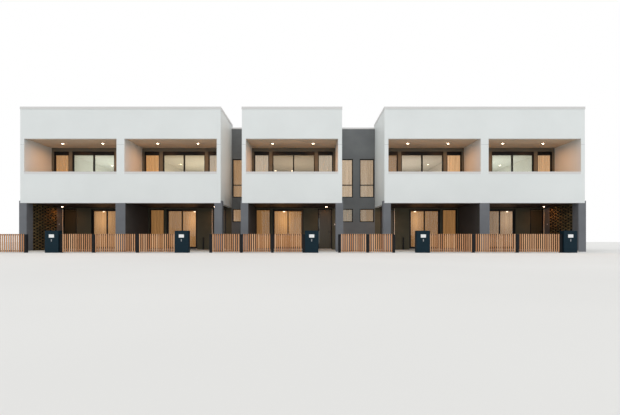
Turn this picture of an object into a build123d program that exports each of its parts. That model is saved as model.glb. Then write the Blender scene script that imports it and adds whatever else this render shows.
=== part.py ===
from build123d import *
import os

os.makedirs("parts", exist_ok=True)

# A row of five two-storey houses. White boxes hold the balconies and stand out from a grey body.
# Sizes are in millimetres. X runs along the row, Y from the street to the back, Z up.

# Layout along the row
box_width = 5200            # one white box, one house wide
bay_width = 1100            # recessed grey bay beside each of the three inner houses
pier_width = 390            # grey pier at the corner of a box
pier_step = 60              # how far a corner pier stands out past the side of its box
wing_width = 510            # grey wall between two porches under a double box
box_wall = 205              # white wall at the side of a box
party_wall = 250            # wall between two houses, inside
end_wall = 250              # grey wall at each end of the row

# Layout from front to back
house_depth = 11500         # face of the boxes to the rear face
box_depth = 3100            # face of the boxes to the grey front wall
body_wall = 250             # thickness of the grey front and rear walls
skin = 150                  # thickness of a balustrade or fascia
balcony_depth = 2300        # face of the boxes to the wall behind the balcony
balcony_wall = 200
pier_depth = 400            # corner pier, front to back
screen_start = 500          # where the brick screen of an end porch begins
screen_length = 2093        # and how far it runs

# Heights, from the ground up
floor_level = 100
porch_level = 55
soffit_level = 2530         # underside of the white boxes
lintel_height = 90
pier_rise = 120             # outer lip of a corner pier above the soffit level
floor_thickness = 570       # underside of the white boxes to the upper floor and balcony deck
balustrade_height = 1060
upper_room_height = 2800
balcony_lintel = 200        # ceiling to the openings behind the balconies
fascia_lip = 30             # how far a fascia hangs below the ceiling
roof_zone = 1500            # ceiling to the top of the white walls, under their coping
body_drop = 200             # top of the grey walls below the top of the white ones
parapet_height = 150        # roof deck to the top of the grey walls

# Thin pieces
coping_height = 130
body_coping_height = 90
coping_overhang = 15
coping_joint = 3            # open joint between two lengths of coping
soffit_board = 20
ceiling_board = 60
roof_deck = 100

# Windows and doors, measured from the window side of a box
window_start = 320
window_width = 870
window_gap = 140            # window to the slider beside it
slider_width = 1820
door_width = 780
door_edge = 370             # doorway to the far side of the box
balcony_window_start = 130  # side wall of the balcony to its window
balcony_window_width = 860
balcony_window_gap = 190    # window to the slider between the two
head_box = 200              # deep black head over the balcony glazing

frame_face = 50             # width of a frame seen from the front
frame_depth = 120           # frame, front to back
frame_setback = 40          # face of the wall to the frame
glass_thickness = 12
mullion = 70

# Sliding doors
track_height = 30
rail_height = 10
rail_width = 8
sash_thickness = 40
sash_spacing = 55           # centre of the fixed sash to centre of the moving one
sash_stile = 60
sash_foot = 80
sash_clearance = 6
seat_clearance = 0.3

# Entry doors
door_jamb = 30
leaf_thickness = 40
leaf_clearance = 8
leaf_floor_gap = 8
hinge_radius = 7
hinge_proud = 6             # centre of the pin in front of the inner face of the leaf
hinge_plate = 4
hinge_plate_width = 30
hinge_knuckle = 60
hinge_outer_knuckle = 25
hinge_inset = 240           # end of the leaf to the nearest hinge
hinge_facets = 8

# Square levers of the entry doors and flat pulls of the sliders, on both faces
lever_height = 1000         # floor to the middle of the lever
lever_backset = 50          # lock edge of the leaf to the middle of the rose
lever_rose = 52
lever_rose_thickness = 7
lever_neck = 16
lever_reach = 44            # face of the leaf to the back of the bar
lever_length = 130
lever_bar = 18
lever_bar_thickness = 9
pull_height = 1180          # floor to the middle of the pull
pull_length = 180
pull_width = 32
pull_thickness = 8
grip_length = 130
grip_width = 14
grip_depth = 24

# Windows in the grey bays, measured from the box beside them
bay_window_start = 40
bay_window_width = 860
bay_upper_sill = 40         # above the upper floor
bay_transom = 720           # above that sill
bay_upper_head = 470        # below the ceiling
bay_lower_head = 60         # below the soffit level
bay_lower_height = 790

# Rear windows of each house
rear_door_width = 2400
rear_window_width = 1500
rear_window_offset = 1350   # centre of the house to the centre of an upper window
rear_window_sill = 900      # above the upper floor
rear_window_height = 1450

# Curtains on ceiling tracks, behind every window and slider that shows one
curtain_overlap = 60        # past each side of the opening
curtain_setback = 45        # inner face of the wall to the curtain
curtain_thickness = 60      # depth of its folds
curtain_floor_gap = 15
curtain_drop = 100          # below the sill of the lower window in a bay
curtain_track_width = 30
curtain_track_height = 25

# Brick screens of the end porches: every second course leaves its holes half a pitch along
brick_course = 86
screen_joint = 10
screen_pitch = 465
screen_hole = 150
screen_thickness = 110

# Street fence and letterboxes
fence_setout = 1700         # face of the boxes to the middle of the fence
letterbox_width = 640
letterbox_depth = 330
letterbox_height = 1050
letterbox_chamfer = 8
fence_post = 120
fence_post_height = 880
batten_top = 895
batten_bottom = 30
batten_width = 58
batten_pitch = 102
batten_thickness = 30
rail_depth = 40
fence_rail_height = 50
top_rail_level = 830        # underside of the upper rail
bottom_rail_level = 60
letterbox_places = (2450, 3410, 3290, 1185, 2970)   # left side of a house's box to its letterbox
path_widths = (925, 980, 945, 995)                  # openings for the paths of the first four houses
corner_bays = (1550, 2090)  # post centres of the fence between the letterboxes of houses 1 and 2
middle_bays = (1460, 1485)
short_bay = 1350
right_bays = (2100, 2100)

# Slim posts that stand at the wall between the slider and the door of two porches
wall_post_size = 70
wall_post_height = 770
wall_post_offset = 490      # doorway to the post

# Worked-out levels
door_head = soffit_level - lintel_height
deck_level = soffit_level + floor_thickness
balustrade_top = deck_level + balustrade_height
ceiling_level = deck_level + upper_room_height
balcony_head = ceiling_level - balcony_lintel
fascia_bottom = ceiling_level - fascia_lip
box_top = ceiling_level + roof_zone
body_top = box_top - body_drop
roof_level = body_top - parapet_height

# Worked-out places along the row
row_half = (5 * box_width + 3 * bay_width) / 2
box_lefts = (
    -row_half,
    -row_half + box_width,
    -row_half + 2 * box_width + bay_width,
    row_half - 2 * box_width,
    row_half - box_width,
)
mirrored = (True, False, False, True, False)
houses = range(5)
party_lines = (box_lefts[1], box_lefts[2], box_lefts[3] - bay_width, box_lefts[4])
house_edges = (-row_half, *party_lines, row_half)
double_boxes = ((box_lefts[0], box_lefts[1] + box_width), (box_lefts[3], box_lefts[4] + box_width))
boxes = (double_boxes[0], (box_lefts[2], box_lefts[2] + box_width), double_boxes[1])

# Worked-out places from front to back, with the whole row centred on the origin
front_reach = fence_setout + letterbox_depth / 2
rear_reach = house_depth + coping_overhang
facade_y = (front_reach - rear_reach) / 2
body_y = facade_y + box_depth
body_inner_y = body_y + body_wall
balcony_wall_y = facade_y + balcony_depth
rear_y = facade_y + house_depth
rear_inner_y = rear_y - body_wall
fence_y = facade_y - fence_setout
frame_y = body_y + frame_setback
end_outer = row_half + pier_step
end_inner = end_outer - end_wall
pier_inner = pier_width - pier_step
slider_start = window_start + window_width + window_gap


def rect(a0, a1, b0, b1, mode=Mode.ADD):
    # A rectangle given by its limits on the sketch's two axes
    with Locations(((a0 + a1) / 2, (b0 + b1) / 2)):
        Rectangle(a1 - a0, b1 - b0, mode=mode)


def plan(level):
    # A level sketch plane, seen from above
    return Plane.XY.offset(level)


def elevation(y):
    # An upright sketch plane seen from the street: its axes are X and Z
    return Plane.XZ.offset(-y)


def span(house, start, end):
    # X limits of a piece measured from the window side of a house's box
    left = box_lefts[house]
    if mirrored[house]:
        return left + box_width - end, left + box_width - start
    return left + start, left + end


def window_span(house):
    return span(house, window_start, window_start + window_width)


def slider_span(house):
    return span(house, slider_start, slider_start + slider_width)


def door_span(house):
    return span(house, box_width - door_edge - door_width, box_width - door_edge)


def ring(x0, x1, z0, z1, sides, head, foot):
    # A frame drawn in elevation
    rect(x0, x1, z0, z1)
    rect(x0 + sides, x1 - sides, z0 + foot, z1 - head, mode=Mode.SUBTRACT)


def clear_span(house):
    # X limits between the two white walls of a house's box
    left = box_lefts[house]
    return left + box_wall, left + box_width - box_wall


# Floors on the ground
with BuildPart() as ground_slab:
    with BuildSketch(plan(0)):
        rect(-end_inner, end_inner, body_inner_y, rear_inner_y)
    extrude(amount=floor_level)

# Inner faces of the corner piers, the porch floor between them, and the corners that hold a pier
left_edges = tuple(left + pier_inner for left in box_lefts)
right_edges = tuple(left + box_width - pier_inner for left in box_lefts)
porch_spans = (
    (left_edges[0], box_lefts[1] - wing_width / 2),
    (box_lefts[1] + wing_width / 2, box_lefts[1] + box_width),
    (left_edges[2], box_lefts[2] + box_width),
    (box_lefts[3], box_lefts[4] - wing_width / 2),
    (box_lefts[4] + wing_width / 2, right_edges[4]),
)
open_corners = (
    (right_edges[1], box_lefts[1] + box_width + pier_step),
    (right_edges[2], box_lefts[2] + box_width + pier_step),
    (box_lefts[3] - pier_step, left_edges[3]),
)
end_corners = ((-end_outer, left_edges[0]), (right_edges[4], end_outer))

with BuildPart() as porch_floors:
    with BuildSketch(plan(0)):
        for x0, x1 in porch_spans:
            rect(x0, x1, facade_y, body_y)
        for x0, x1 in open_corners:
            rect(x0, x1, facade_y, facade_y + pier_depth, mode=Mode.SUBTRACT)
    extrude(amount=porch_level)

# Sills under the doors and windows of the ground floor
with BuildPart() as opening_sills:
    with BuildSketch(plan(0)):
        for house in houses:
            for x0, x1 in (window_span(house), slider_span(house), door_span(house)):
                rect(x0, x1, body_y, body_inner_y)
    extrude(amount=floor_level)


# Piers and wing walls of the porches
def lipped_pier(x0, x1, lip_on_left, y0, y1):
    # A pier whose outer strip climbs past the soffit beside the white wall
    with BuildSketch(elevation(y0)) as outline:
        rect(x0, x1, 0, soffit_level)
        if lip_on_left:
            rect(x0, x0 + pier_step, 0, soffit_level + pier_rise)
        else:
            rect(x1 - pier_step, x1, 0, soffit_level + pier_rise)
    extrude(outline.sketch, amount=-(y1 - y0))


screen_y0 = facade_y + screen_start
screen_y1 = screen_y0 + screen_length
corner_y1 = facade_y + pier_depth

with BuildPart() as porch_piers:
    for (x0, x1), lip_on_left in zip(open_corners, (False, False, True)):
        lipped_pier(x0, x1, lip_on_left, facade_y, corner_y1)
    for (x0, x1), lip_on_left in zip(end_corners, (True, False)):
        lipped_pier(x0, x1, lip_on_left, facade_y, screen_y0)
        lipped_pier(x0, x1, lip_on_left, screen_y1, body_inner_y)

with BuildPart() as wing_walls:
    with BuildSketch(plan(0)):
        for line in (box_lefts[1], box_lefts[4]):
            rect(line - wing_width / 2, line + wing_width / 2, facade_y, body_y)
    extrude(amount=soffit_level)
    lipped_pier(box_lefts[2] - pier_step, left_edges[2], True, facade_y, body_y)


# Hit-and-miss brick screens
def brick_screen(inner_x, outward):
    # One leaf of brick with a hole at each gap between two bricks of a course
    courses = int((soffit_level - screen_joint) // brick_course)
    holes = []
    for course in range(1, courses):
        y = screen_y0 + screen_pitch / 4
        if course % 2 == 0:
            y += screen_pitch / 2
        while y + screen_hole / 2 + screen_joint < screen_y1:
            holes.append((y, course * brick_course + (brick_course + screen_joint) / 2))
            y += screen_pitch
    with BuildSketch(Plane.YZ.offset(inner_x)) as face:
        rect(screen_y0, screen_y1, 0, soffit_level)
        with Locations(*holes):
            Rectangle(screen_hole, brick_course - screen_joint, mode=Mode.SUBTRACT)
    extrude(face.sketch, amount=outward * screen_thickness)


with BuildPart() as brick_screen_left:
    brick_screen(left_edges[0], -1)

with BuildPart() as brick_screen_right:
    brick_screen(right_edges[4], 1)


# Grey front wall of the ground floor, in upright lengths between its openings
wall_stretches = ((left_edges[0], box_lefts[1] + box_width), (box_lefts[2], box_lefts[2] + box_width),
                  (box_lefts[3], right_edges[4]))

with BuildPart() as ground_front_walls:
    with BuildSketch(plan(0)):
        for x0, x1 in wall_stretches:
            rect(x0, x1, body_y, body_inner_y)
        for house in houses:
            for x0, x1 in (window_span(house), slider_span(house), door_span(house)):
                rect(x0, x1, body_y, body_inner_y, mode=Mode.SUBTRACT)
    extrude(amount=door_head)

with BuildPart() as ground_lintels:
    with BuildSketch(plan(door_head)):
        for x0, x1 in wall_stretches:
            rect(x0, x1, body_y, body_inner_y)
    extrude(amount=soffit_level - door_head)


# Grey bays between the boxes
def bay_window_spans(x0, x1):
    # One column of windows beside each box that borders the bay
    spans = [(x0 + bay_window_start, x0 + bay_window_start + bay_window_width)]
    if x1 - x0 > 1.5 * bay_width:
        spans.append((x1 - bay_window_start - bay_window_width, x1 - bay_window_start))
    return spans


left_bay = (box_lefts[1] + box_width, box_lefts[2])
right_bay = (box_lefts[2] + box_width, box_lefts[3])
lower_head = soffit_level - bay_lower_head
lower_sill = lower_head - bay_lower_height
upper_sill = deck_level + bay_upper_sill
upper_head = ceiling_level - bay_upper_head
transom = upper_sill + bay_transom
bay_levels = ((lower_sill, lower_head), (upper_sill, upper_head))


def bay_wall(x0, x1):
    with BuildSketch(elevation(body_y)) as face:
        rect(x0, x1, 0, body_top)
        for w0, w1 in bay_window_spans(x0, x1):
            for sill, head in bay_levels:
                rect(w0, w1, sill, head, mode=Mode.SUBTRACT)
    extrude(face.sketch, amount=-body_wall)


with BuildPart() as link_wall_left:
    bay_wall(*left_bay)

with BuildPart() as link_wall_right:
    bay_wall(*right_bay)

with BuildPart() as link_window_frames:
    with BuildSketch(elevation(frame_y)):
        for bay in (left_bay, right_bay):
            for w0, w1 in bay_window_spans(*bay):
                for sill, head in bay_levels:
                    ring(w0, w1, sill, head, frame_face, frame_face, frame_face)
                rect(w0, w1, transom, transom + frame_face)
    extrude(amount=-frame_depth)

glass_y = frame_y + (frame_depth - glass_thickness) / 2

with BuildPart() as link_glass:
    with BuildSketch(elevation(glass_y)):
        for bay in (left_bay, right_bay):
            for w0, w1 in bay_window_spans(*bay):
                for sill, head in ((lower_sill + frame_face, lower_head - frame_face),
                                   (upper_sill + frame_face, transom),
                                   (transom + frame_face, upper_head - frame_face)):
                    rect(w0 + frame_face, w1 - frame_face, sill, head)
    extrude(amount=-glass_thickness)

# Walls, floors and roof of the body
with BuildPart() as party_walls:
    for low, high in ((floor_level, soffit_level), (deck_level, ceiling_level)):
        with BuildSketch(plan(low)):
            for line in party_lines:
                rect(line - party_wall / 2, line + party_wall / 2, body_inner_y, rear_inner_y)
        extrude(amount=high - low)

with BuildPart() as end_walls:
    with BuildSketch(plan(0)):
        rect(-end_outer, -end_inner, body_inner_y, rear_inner_y)
        rect(end_inner, end_outer, body_inner_y, rear_inner_y)
    extrude(amount=body_top)

house_centres = tuple((house_edges[house] + house_edges[house + 1]) / 2 for house in houses)
rear_sill = deck_level + rear_window_sill
rear_openings = []
for centre in house_centres:
    rear_openings.append((centre - rear_door_width / 2, centre + rear_door_width / 2, floor_level, door_head))
    for side in (-1, 1):
        middle = centre + side * rear_window_offset
        rear_openings.append((middle - rear_window_width / 2, middle + rear_window_width / 2,
                              rear_sill, rear_sill + rear_window_height))

with BuildPart() as rear_wall:
    with BuildSketch(elevation(rear_inner_y)):
        rect(-end_outer, end_outer, 0, body_top)
        for x0, x1, sill, head in rear_openings:
            rect(x0, x1, sill, head, mode=Mode.SUBTRACT)
    extrude(amount=-body_wall)

rear_frame_y = rear_y - frame_setback - frame_depth

with BuildPart() as rear_window_frames:
    with BuildSketch(elevation(rear_frame_y)):
        for x0, x1, sill, head in rear_openings:
            ring(x0, x1, sill, head, frame_face, frame_face, frame_face)
            rect((x0 + x1 - mullion) / 2, (x0 + x1 + mullion) / 2, sill, head)
    extrude(amount=-frame_depth)

with BuildPart() as rear_glass:
    with BuildSketch(elevation(rear_frame_y + (frame_depth - glass_thickness) / 2)):
        for x0, x1, sill, head in rear_openings:
            middle = (x0 + x1) / 2
            rect(x0 + frame_face, middle - mullion / 2, sill + frame_face, head - frame_face)
            rect(middle + mullion / 2, x1 - frame_face, sill + frame_face, head - frame_face)
    extrude(amount=-glass_thickness)

with BuildPart() as first_floor:
    with BuildSketch(plan(soffit_level)):
        rect(-end_inner, end_inner, body_inner_y, rear_inner_y)
    extrude(amount=deck_level - soffit_level)

with BuildPart() as upper_ceiling:
    with BuildSketch(plan(ceiling_level)):
        rect(-end_inner, end_inner, body_inner_y, rear_inner_y)
    extrude(amount=ceiling_board)

# White boxes
wall_spans = []
for x0, x1 in boxes:
    wall_spans.append((x0, x0 + box_wall))
    wall_spans.append((x1 - box_wall, x1))
for x0, x1 in double_boxes:
    middle = (x0 + x1) / 2
    wall_spans.append((middle - box_wall, middle + box_wall))

with BuildPart() as box_walls:
    with BuildSketch(plan(soffit_level)):
        for x0, x1 in wall_spans:
            rect(x0, x1, facade_y, body_inner_y)
    extrude(amount=box_top - soffit_level)

with BuildPart() as balcony_floors:
    with BuildSketch(plan(soffit_level + soffit_board)):
        for house in houses:
            rect(*clear_span(house), facade_y + skin, body_inner_y)
    extrude(amount=deck_level - soffit_level - soffit_board)

with BuildPart() as porch_soffits:
    with BuildSketch(plan(soffit_level)):
        for house in houses:
            rect(*clear_span(house), facade_y + skin, body_inner_y)
    extrude(amount=soffit_board)

with BuildPart() as balustrades:
    with BuildSketch(plan(soffit_level)):
        for house in houses:
            rect(*clear_span(house), facade_y, facade_y + skin)
    extrude(amount=balustrade_top - coping_height - soffit_level)

with BuildPart() as balustrade_copings:
    with BuildSketch(plan(balustrade_top - coping_height)):
        for house in houses:
            rect(*clear_span(house), facade_y - coping_overhang / 3, facade_y + skin + coping_overhang)
    extrude(amount=coping_height)

with BuildPart() as box_fascias:
    with BuildSketch(plan(fascia_bottom)):
        for house in houses:
            rect(*clear_span(house), facade_y, facade_y + skin)
    extrude(amount=box_top - fascia_bottom)

with BuildPart() as balcony_ceilings:
    with BuildSketch(plan(ceiling_level)):
        for house in houses:
            rect(*clear_span(house), facade_y + skin, body_inner_y)
    extrude(amount=ceiling_board)

with BuildPart() as box_back_parapets:
    with BuildSketch(plan(ceiling_level + ceiling_board)):
        for house in houses:
            rect(*clear_span(house), body_y, body_inner_y)
    extrude(amount=box_top - ceiling_level - ceiling_board)

with BuildPart() as roof_decks:
    with BuildSketch(plan(roof_level - roof_deck)):
        for house in houses:
            rect(*clear_span(house), facade_y + skin, body_y)
        rect(-end_inner, end_inner, body_inner_y, rear_inner_y)
    extrude(amount=roof_deck)

# Copings of the boxes: a front length, a rear length, and one on each wall between them
coping_front_y = facade_y + box_wall + coping_overhang
coping_rear_y = body_y - coping_overhang

with BuildPart() as box_copings:
    with BuildSketch(plan(box_top)):
        for x0, x1 in boxes:
            rect(x0 - coping_overhang, x1 + coping_overhang, facade_y - coping_overhang, coping_front_y)
            rect(x0 - coping_overhang, x1 + coping_overhang, coping_rear_y, body_inner_y + coping_overhang)
        for x0, x1 in wall_spans:
            rect(x0 - coping_overhang, x1 + coping_overhang,
                 coping_front_y + coping_joint, coping_rear_y - coping_joint)
    extrude(amount=coping_height)

with BuildPart() as parapet_copings:
    with BuildSketch(plan(body_top)):
        for x0, x1 in (left_bay, right_bay):
            rect(x0, x1, body_y - coping_overhang, body_inner_y + coping_overhang)
        for x0, x1 in ((-end_outer, -end_inner), (end_inner, end_outer)):
            rect(x0 - coping_overhang, x1 + coping_overhang,
                 body_inner_y, rear_inner_y - coping_overhang - coping_joint)
        rect(-end_outer - coping_overhang, end_outer + coping_overhang,
             rear_inner_y - coping_overhang, rear_y + coping_overhang)
    extrude(amount=body_coping_height)


# Glazed wall behind each balcony
def balcony_openings(house):
    # X limits of the side window, the slider and the other side window
    x0, x1 = clear_span(house)
    left_end = x0 + balcony_window_start + balcony_window_width
    right_end = x1 - balcony_window_start - balcony_window_width
    return (
        (x0 + balcony_window_start, left_end),
        (left_end + balcony_window_gap, right_end - balcony_window_gap),
        (right_end, x1 - balcony_window_start),
    )


with BuildPart() as balcony_back_walls:
    with BuildSketch(elevation(balcony_wall_y)):
        for house in houses:
            rect(*clear_span(house), deck_level, ceiling_level)
            for x0, x1 in balcony_openings(house):
                rect(x0, x1, deck_level, balcony_head, mode=Mode.SUBTRACT)
    extrude(amount=-balcony_wall)

balcony_frame_y = balcony_wall_y + frame_setback

with BuildPart() as balcony_frames:
    with BuildSketch(elevation(balcony_frame_y)):
        for house in houses:
            for x0, x1 in balcony_openings(house):
                ring(x0, x1, deck_level, balcony_head, frame_face, head_box, frame_face)
            middle = sum(clear_span(house)) / 2
            rect(middle - mullion / 2, middle + mullion / 2, deck_level, balcony_head)
    extrude(amount=-frame_depth)

with BuildPart() as balcony_glass:
    with BuildSketch(elevation(balcony_frame_y + (frame_depth - glass_thickness) / 2)):
        for house in houses:
            low = deck_level + frame_face
            high = balcony_head - head_box
            middle = sum(clear_span(house)) / 2
            left_window, slider, right_window = balcony_openings(house)
            for x0, x1 in (left_window, right_window):
                rect(x0 + frame_face, x1 - frame_face, low, high)
            rect(slider[0] + frame_face, middle - mullion / 2, low, high)
            rect(middle + mullion / 2, slider[1] - frame_face, low, high)
    extrude(amount=-glass_thickness)

# Ground floor glazing: a fixed window and a slider with one fixed and one moving sash
rail_top = floor_level + track_height + rail_height
sash_head = door_head - frame_face
sash_width = (slider_width - 2 * frame_face + sash_stile - sash_clearance) / 2
fixed_y = frame_y + (frame_depth - sash_spacing) / 2
moving_y = fixed_y + sash_spacing
fixed_sash_start = slider_start + frame_face
moving_sash_end = slider_start + slider_width - frame_face - sash_clearance

with BuildPart() as ground_frames:
    with BuildSketch(elevation(frame_y)) as window_rings:
        for house in houses:
            ring(*window_span(house), floor_level, door_head, frame_face, frame_face, frame_face)
    extrude(window_rings.sketch, amount=-frame_depth)
    with BuildSketch(elevation(fixed_y - sash_thickness / 2)) as sash_rings:
        for house in houses:
            ring(*span(house, fixed_sash_start, fixed_sash_start + sash_width), rail_top, sash_head,
                 sash_stile, sash_stile, sash_foot)
    extrude(sash_rings.sketch, amount=-sash_thickness)

with BuildPart() as ground_glass:
    with BuildSketch(elevation(glass_y)) as window_panes:
        for house in houses:
            x0, x1 = window_span(house)
            rect(x0 + frame_face, x1 - frame_face, floor_level + frame_face, door_head - frame_face)
    extrude(window_panes.sketch, amount=-glass_thickness)
    with BuildSketch(elevation(fixed_y - glass_thickness / 2)) as sash_panes:
        for house in houses:
            rect(*span(house, fixed_sash_start + sash_stile, fixed_sash_start + sash_width - sash_stile),
                 rail_top + sash_foot, sash_head - sash_stile)
    extrude(sash_panes.sketch, amount=-glass_thickness)

# Curtains: X limits of the opening, inner face of its wall, and then the bottom and the ceiling of each row
balcony_inner_y = balcony_wall_y + balcony_wall
ground_curtains = []
bay_curtains = []
upper_curtains = []
for house in houses:
    for x0, x1 in (window_span(house), slider_span(house)):
        ground_curtains.append((x0, x1, body_inner_y))
    left_window, slider, right_window = balcony_openings(house)
    for x0, x1 in (left_window, right_window):
        upper_curtains.append((x0, x1, balcony_inner_y))
for bay in (left_bay, right_bay):
    for x0, x1 in bay_window_spans(*bay):
        bay_curtains.append((x0, x1, body_inner_y))
        upper_curtains.append((x0, x1, body_inner_y))
curtain_rows = (
    (ground_curtains, floor_level + curtain_floor_gap, soffit_level),
    (bay_curtains, lower_sill - curtain_drop, soffit_level),
    (upper_curtains, deck_level + curtain_floor_gap, ceiling_level),
)


def curtain_strips(places, depth):
    # A strip behind each opening, centred on the line that its curtain hangs on
    for x0, x1, wall in places:
        middle = wall + curtain_setback + curtain_thickness / 2
        rect(x0 - curtain_overlap, x1 + curtain_overlap, middle - depth / 2, middle + depth / 2)


with BuildPart() as curtain_tracks:
    for places, foot, ceiling in curtain_rows:
        with BuildSketch(plan(ceiling - curtain_track_height)) as strips:
            curtain_strips(places, curtain_track_width)
        extrude(strips.sketch, amount=curtain_track_height)

with BuildPart() as curtains:
    for places, foot, ceiling in curtain_rows:
        with BuildSketch(plan(foot)) as strips:
            curtain_strips(places, curtain_thickness)
        extrude(strips.sketch, amount=ceiling - curtain_track_height - seat_clearance - foot)

# Tracks of the sliders, each with a rail under either sash
with BuildPart() as slider_tracks:
    with BuildSketch(plan(floor_level)) as track_plan:
        for house in houses:
            x0, x1 = slider_span(house)
            rect(x0 + frame_face, x1 - frame_face, frame_y, frame_y + frame_depth)
    extrude(track_plan.sketch, amount=track_height)
    with BuildSketch(plan(floor_level + track_height)) as rail_plan:
        for house in houses:
            x0, x1 = slider_span(house)
            for y in (fixed_y, moving_y):
                rect(x0 + frame_face, x1 - frame_face, y - rail_width / 2, y + rail_width / 2)
    extrude(rail_plan.sketch, amount=rail_height)

# Hinge line of each entry door, in the gap between the jamb and the inner edge of the leaf
leaf_y = frame_y + frame_depth - leaf_thickness
leaf_inner_y = frame_y + frame_depth
pin_y = leaf_inner_y + hinge_proud
leaf_low = floor_level + leaf_floor_gap
leaf_high = door_head - door_jamb - leaf_clearance
hinge_levels = (
    leaf_low + hinge_inset,
    (leaf_low + leaf_high - hinge_knuckle) / 2,
    leaf_high - hinge_inset - hinge_knuckle,
)


def hinge_side(house):
    # The leaf hangs on the slider side of the doorway: its X and the way the leaf points
    x0, x1 = door_span(house)
    if mirrored[house]:
        return x1 - door_jamb, -1
    return x0 + door_jamb, 1


def knuckles(places, low, height):
    # Barrels on the pins at one level, each with the plate that lies on the inner face on its side
    with BuildSketch(plan(low)) as outline:
        for x, way in places:
            with Locations((x, pin_y)):
                RegularPolygon(hinge_radius, hinge_facets)
            edge = x + way * hinge_plate_width
            rect(min(x, edge), max(x, edge), leaf_inner_y, leaf_inner_y + hinge_plate)
    extrude(outline.sketch, amount=height)


# Jambs of the doorways and sliders, with the fixed knuckles of the hinges
with BuildPart() as door_jambs:
    with BuildSketch(plan(floor_level)) as jamb_plan:
        for house in houses:
            for (x0, x1), face in ((door_span(house), door_jamb), (slider_span(house), frame_face)):
                rect(x0, x0 + face, frame_y, frame_y + frame_depth)
                rect(x1 - face, x1, frame_y, frame_y + frame_depth)
    extrude(jamb_plan.sketch, amount=door_head - floor_level)
    jamb_plates = []
    for house in houses:
        jamb_x, way = hinge_side(house)
        jamb_plates.append((jamb_x + way * leaf_clearance / 2, -way))
    for level in hinge_levels:
        knuckles(jamb_plates, level - hinge_outer_knuckle - seat_clearance, hinge_outer_knuckle)
        knuckles(jamb_plates, level + hinge_knuckle + seat_clearance, hinge_outer_knuckle)

with BuildPart() as door_heads:
    for size, spans in ((door_jamb, [door_span(house) for house in houses]),
                        (frame_face, [slider_span(house) for house in houses])):
        with BuildSketch(plan(door_head - size)) as head_plan:
            for x0, x1 in spans:
                rect(x0 + size, x1 - size, frame_y, frame_y + frame_depth)
        extrude(head_plan.sketch, amount=size)

# Street fence: the ends of each run, its bays but the last, and whether a post stands at either end
letterbox_lefts = tuple(left + place for left, place in zip(box_lefts, letterbox_places))
letterbox_rights = tuple(left + letterbox_width for left in letterbox_lefts)
fence_runs = (
    (-row_half, letterbox_lefts[0] - path_widths[0], (), True, True),
    (letterbox_rights[0], letterbox_lefts[1], corner_bays, True, False),
    (letterbox_rights[1] + path_widths[1], letterbox_lefts[2], middle_bays, True, True),
    (letterbox_rights[2] + path_widths[2], letterbox_lefts[3] - path_widths[3], (short_bay,), True, True),
    (letterbox_rights[3], letterbox_lefts[4], right_bays, False, True),
)

posts = []
panels = []
for start, end, bays, first_post, last_post in fence_runs:
    station = start
    low = start
    if first_post:
        station += fence_post / 2
        low += fence_post
        posts.append(station)
    for bay in bays:
        station += bay
        posts.append(station)
        panels.append((low, station - fence_post / 2))
        low = station + fence_post / 2
    if last_post:
        posts.append(end - fence_post / 2)
        panels.append((low, end - fence_post))
    else:
        panels.append((low, end))

with BuildPart() as fence_posts:
    with BuildSketch(plan(0)):
        for station in posts:
            rect(station - fence_post / 2, station + fence_post / 2, fence_y - fence_post / 2,
                 fence_y + fence_post / 2)
    extrude(amount=fence_post_height)

batten_y = fence_y - (rail_depth + batten_thickness) / 2
batten_places = []
for x0, x1 in panels:
    count = int((x1 - x0 - batten_width) // batten_pitch) + 1
    first = (x0 + x1 - (count - 1) * batten_pitch) / 2
    for index in range(count):
        batten_places.append((first + index * batten_pitch, batten_y))

with BuildPart() as fence_rails:
    for level in (bottom_rail_level, top_rail_level):
        with BuildSketch(plan(level)) as rails:
            for x0, x1 in panels:
                rect(x0, x1, fence_y - rail_depth / 2, fence_y + rail_depth / 2)
        extrude(rails.sketch, amount=fence_rail_height)

with BuildPart() as fence_panels:
    with BuildSketch(plan(batten_bottom)):
        with Locations(*batten_places):
            Rectangle(batten_width, batten_thickness)
    extrude(amount=batten_top - batten_bottom)

with BuildPart() as letterbox_pillars:
    with BuildSketch(plan(0)):
        for left in letterbox_lefts:
            rect(left, left + letterbox_width, fence_y - letterbox_depth / 2, fence_y + letterbox_depth / 2)
    extrude(amount=letterbox_height)
    chamfer(letterbox_pillars.faces().filter_by(Axis.Z).group_by(Axis.Z)[-1].edges(), letterbox_chamfer)

with BuildPart() as wall_posts:
    with BuildSketch(plan(porch_level)):
        for house in (1, 3):
            x0, x1 = span(house, box_width - door_edge - door_width - wall_post_offset - wall_post_size,
                          box_width - door_edge - door_width - wall_post_offset)
            rect(x0, x1, body_y - wall_post_size, body_y)
    extrude(amount=wall_post_height - porch_level)


# Moving pieces
def bar(x, z, width, height, y, side, thickness):
    # A flat piece centred on a point of an upright face, which grows to the street where side is 1
    with BuildSketch(elevation(y)) as outline:
        with Locations((x, z)):
            Rectangle(width, height)
    extrude(outline.sketch, amount=side * thickness)


def lever(x, way, face_y, side):
    # A square rose, a neck, and a bar that points to the hinges
    z = floor_level + lever_height
    bar(x, z, lever_rose, lever_rose, face_y, side, lever_rose_thickness)
    bar(x, z, lever_neck, lever_neck, face_y - side * lever_rose_thickness, side,
        lever_reach - lever_rose_thickness)
    bar(x - way * (lever_length - lever_neck) / 2, z, lever_length, lever_bar,
        face_y - side * lever_reach, side, lever_bar_thickness)


def pull(x, face_y, side):
    # A flat plate with an upright grip
    z = floor_level + pull_height
    bar(x, z, pull_width, pull_length, face_y, side, pull_thickness)
    bar(x, z, grip_width, grip_length, face_y - side * pull_thickness, side, grip_depth - pull_thickness)


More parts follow.
